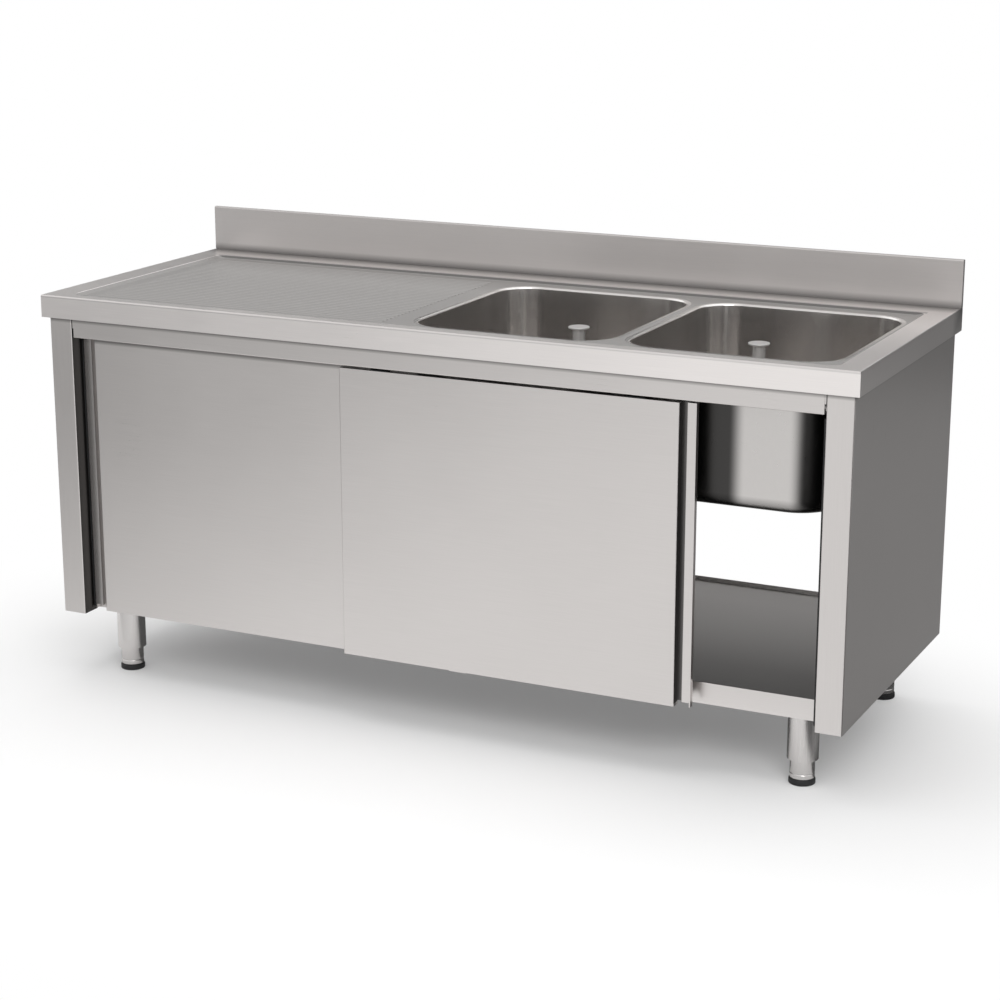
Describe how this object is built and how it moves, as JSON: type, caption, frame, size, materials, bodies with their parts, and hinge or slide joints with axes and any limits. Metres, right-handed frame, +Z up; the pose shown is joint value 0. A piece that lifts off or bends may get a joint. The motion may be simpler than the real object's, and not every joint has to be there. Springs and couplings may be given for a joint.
{
  "type": "kitchen sink unit",
  "caption": "Free-standing stainless kitchen sink unit: ribbed drainer, deep bowls with standpipes, splashback, open-backed cabinet with hung sliding doors on adjustable legs.",
  "frame": {"origin": "on the floor under the middle of the worktop's outline", "axes": "+X along the unit to the right as seen from the front, +Y to the back, +Z up"},
  "size_m": [1.8, 0.7, 0.95],
  "materials": {
    "worktop_steel": "satin, brushed along the length",
    "bowl_steel": "satin, drawn",
    "cabinet_steel": "satin",
    "door_steel": "satin, brushed along the length",
    "plated_steel": "zinc plated",
    "chrome": "polished",
    "brass": "plain",
    "leg_steel": "satin tube",
    "rubber": "matt",
    "nylon": "matt"
  },
  "bodies": {
    "cabinet": {"worktop": "worktop_steel", "splashback": "worktop_steel", "splash_end_caps": "worktop_steel", "bowl_left": "bowl_steel", "bowl_right": "bowl_steel", "wastes": "chrome", "waste_backnuts": "brass", "side_panel_right": "cabinet_steel", "side_panel_left": "cabinet_steel", "apron": "cabinet_steel", "apron_brackets": "cabinet_steel", "rear_track": "cabinet_steel", "rear_rail": "cabinet_steel", "drainer_stiffeners": "cabinet_steel", "shelf": "cabinet_steel", "shelf_stiffener_left": "cabinet_steel", "shelf_stiffener_right": "cabinet_steel", "legs": "leg_steel", "door_buffers": "rubber", "track_stop": "nylon", "bottom_guide": "cabinet_steel", "guide_shoes": "nylon"},
    "front_door": {"front_door_skin": "door_steel", "front_door_back": "door_steel", "front_door_hangers": "plated_steel"},
    "rear_door": {"rear_door_skin": "door_steel", "rear_door_back": "door_steel", "rear_door_hangers": "plated_steel"},
    "standpipe_left": {"standpipe_left": "chrome"},
    "standpipe_right": {"standpipe_right": "chrome"},
    "foot_front_left": {"foot_front_left": "chrome", "foot_pad_front_left": "rubber"},
    "foot_rear_left": {"foot_rear_left": "chrome", "foot_pad_rear_left": "rubber"},
    "foot_front_right": {"foot_front_right": "chrome", "foot_pad_front_right": "rubber"},
    "foot_rear_right": {"foot_rear_right": "chrome", "foot_pad_rear_right": "rubber"},
    "front_roller_left": {"front_roller_left": "nylon"},
    "front_roller_right": {"front_roller_right": "nylon"},
    "rear_roller_left": {"rear_roller_left": "nylon"},
    "rear_roller_right": {"rear_roller_right": "nylon"}
  },
  "joints": [
    {"name": "front_door_slide", "type": "slide", "parent": "cabinet", "child": "front_door", "axis": [1, 0, 0], "range_m": [-0.457, 0.249]},
    {"name": "rear_door_slide", "type": "slide", "parent": "cabinet", "child": "rear_door", "axis": [1, 0, 0], "range_m": [0, 0.74]},
    {"name": "front_roller_left_spin", "type": "hinge", "parent": "front_door", "child": "front_roller_left", "pos_m": [-0.096, -0.33075, 0.7743], "axis": [0, 1, 0], "continuous": true},
    {"name": "front_roller_right_spin", "type": "hinge", "parent": "front_door", "child": "front_roller_right", "pos_m": [0.458, -0.33075, 0.7743], "axis": [0, 1, 0], "continuous": true},
    {"name": "rear_roller_left_spin", "type": "hinge", "parent": "rear_door", "child": "rear_roller_left", "pos_m": [-0.707, -0.29725, 0.7743], "axis": [0, 1, 0], "continuous": true},
    {"name": "rear_roller_right_spin", "type": "hinge", "parent": "rear_door", "child": "rear_roller_right", "pos_m": [-0.002, -0.29725, 0.7743], "axis": [0, 1, 0], "continuous": true},
    {"name": "foot_front_left_adjust", "type": "slide", "parent": "cabinet", "child": "foot_front_left", "axis": [0, 0, 1], "range_m": [-0.02, 0.02]},
    {"name": "foot_rear_left_adjust", "type": "slide", "parent": "cabinet", "child": "foot_rear_left", "axis": [0, 0, 1], "range_m": [-0.02, 0.02]},
    {"name": "foot_front_right_adjust", "type": "slide", "parent": "cabinet", "child": "foot_front_right", "axis": [0, 0, 1], "range_m": [-0.02, 0.02]},
    {"name": "foot_rear_right_adjust", "type": "slide", "parent": "cabinet", "child": "foot_rear_right", "axis": [0, 0, 1], "range_m": [-0.02, 0.02]},
    {"name": "standpipe_left_lift", "type": "slide", "parent": "cabinet", "child": "standpipe_left", "axis": [0, 0, 1], "range_m": [0, 0.32]},
    {"name": "standpipe_right_lift", "type": "slide", "parent": "cabinet", "child": "standpipe_right", "axis": [0, 0, 1], "range_m": [0, 0.32]}
  ],
  "couplings": [
    {"joint": "front_roller_left_spin", "follows": "front_door_slide", "rad_per_m": 76.923},
    {"joint": "front_roller_right_spin", "follows": "front_door_slide", "rad_per_m": 76.923},
    {"joint": "rear_roller_left_spin", "follows": "rear_door_slide", "rad_per_m": 76.923},
    {"joint": "rear_roller_right_spin", "follows": "rear_door_slide", "rad_per_m": 76.923}
  ]
}
